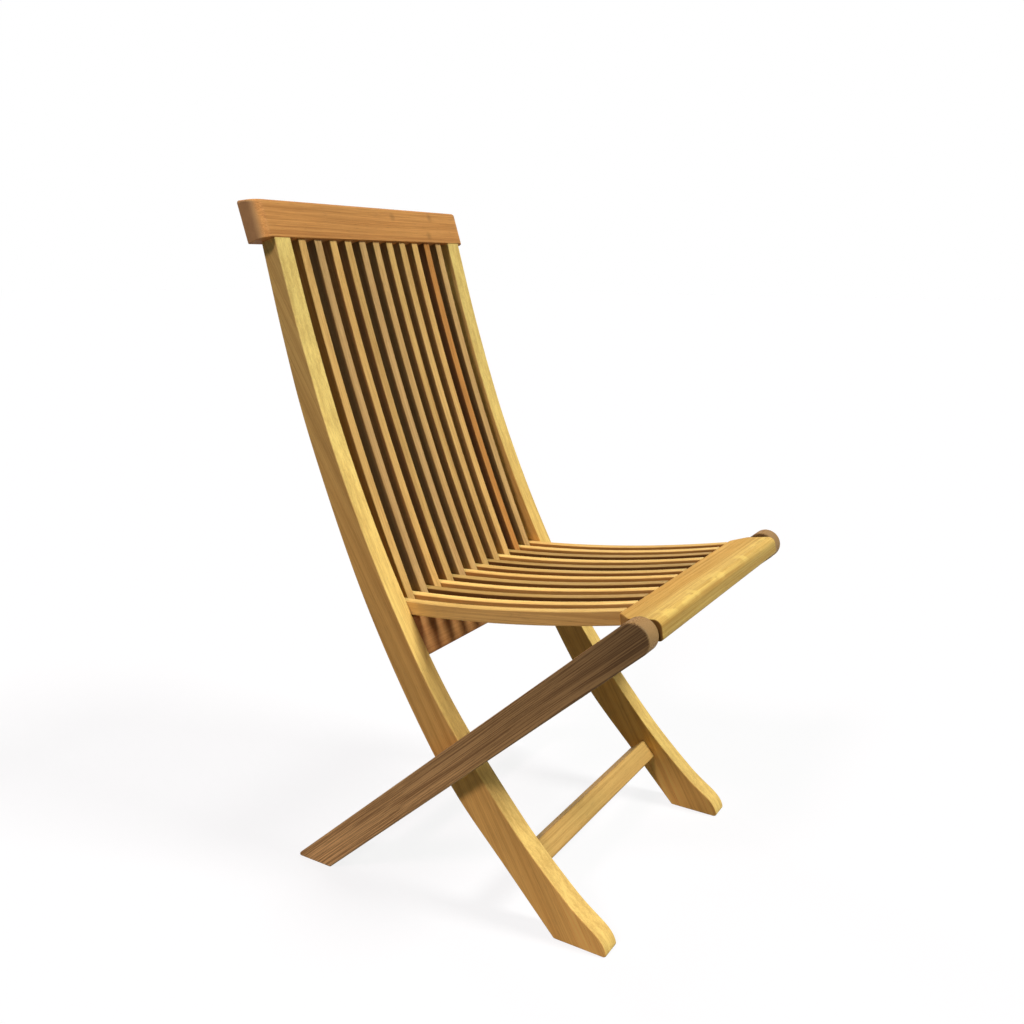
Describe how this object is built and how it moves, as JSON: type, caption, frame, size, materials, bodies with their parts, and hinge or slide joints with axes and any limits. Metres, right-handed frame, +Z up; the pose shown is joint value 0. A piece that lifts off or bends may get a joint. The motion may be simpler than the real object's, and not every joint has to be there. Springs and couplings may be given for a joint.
{
  "type": "folding slatted side chair",
  "caption": "Folding side chair of bare teak: bowed back frame, crossed rear legs and a seat of slats that pass between the back slats. No arms.",
  "frame": {"origin": "on the floor, at the middle of the overall width and depth", "axes": "+Z up, +X towards the sitter's left, -Y towards the front, where the sitter faces"},
  "size_m": [0.4686, 0.5888, 0.8998],
  "materials": {
    "stile_teak": "oiled or bare teak, satin",
    "crest_teak": "oiled or bare teak, satin",
    "back_slat_teak": "oiled or bare teak, satin",
    "seat_slat_teak": "oiled or bare teak, satin",
    "rail_teak": "oiled or bare teak, satin",
    "stretcher_teak": "oiled or bare teak, satin",
    "leg_teak": "oiled or bare teak, satin",
    "seat_rail_teak": "oiled or bare teak, satin",
    "brass": "satin brass"
  },
  "bodies": {
    "back_frame": {"stile_left": "stile_teak", "stile_right": "stile_teak", "crest_rail": "crest_teak", "back_slat_01": "back_slat_teak", "back_slat_02": "back_slat_teak", "back_slat_03": "back_slat_teak", "back_slat_04": "back_slat_teak", "back_slat_05": "back_slat_teak", "back_slat_06": "back_slat_teak", "back_slat_07": "back_slat_teak", "back_slat_08": "back_slat_teak", "back_slat_09": "back_slat_teak", "back_slat_10": "back_slat_teak", "back_slat_11": "back_slat_teak", "lower_back_rail": "rail_teak", "front_stretcher": "stretcher_teak"},
    "rear_legs": {"rear_leg_left": "leg_teak", "rear_leg_right": "leg_teak", "rear_stretcher": "stretcher_teak", "pivot_bolt_left": "brass", "pivot_bolt_right": "brass", "pivot_washer_left": "brass", "pivot_washer_right": "brass"},
    "seat": {"seat_front_rail": "seat_rail_teak", "seat_slat_01": "seat_slat_teak", "seat_slat_02": "seat_slat_teak", "seat_slat_03": "seat_slat_teak", "seat_slat_04": "seat_slat_teak", "seat_slat_05": "seat_slat_teak", "seat_slat_06": "seat_slat_teak", "seat_slat_07": "seat_slat_teak", "seat_slat_08": "seat_slat_teak", "seat_slat_09": "seat_slat_teak", "seat_slat_10": "seat_slat_teak", "seat_slat_11": "seat_slat_teak", "seat_slat_12": "seat_slat_teak", "seat_rear_rod": "brass", "seat_pin_left": "brass", "seat_pin_right": "brass", "seat_washer_left": "brass", "seat_washer_right": "brass"}
  },
  "joints": [
    {"name": "fold_pivot", "type": "hinge", "parent": "back_frame", "child": "rear_legs", "pos_m": [0, -0.02509, 0.195], "axis": [-1, 0, 0], "range_deg": [0, 66]},
    {"name": "seat_pivot", "type": "hinge", "parent": "rear_legs", "child": "seat", "pos_m": [0, -0.2685, 0.425], "axis": [1, 0, 0], "range_deg": [0, 134]}
  ],
  "couplings": [
    {"joint": "seat_pivot", "follows": "fold_pivot", "ratio": 2.02}
  ]
}
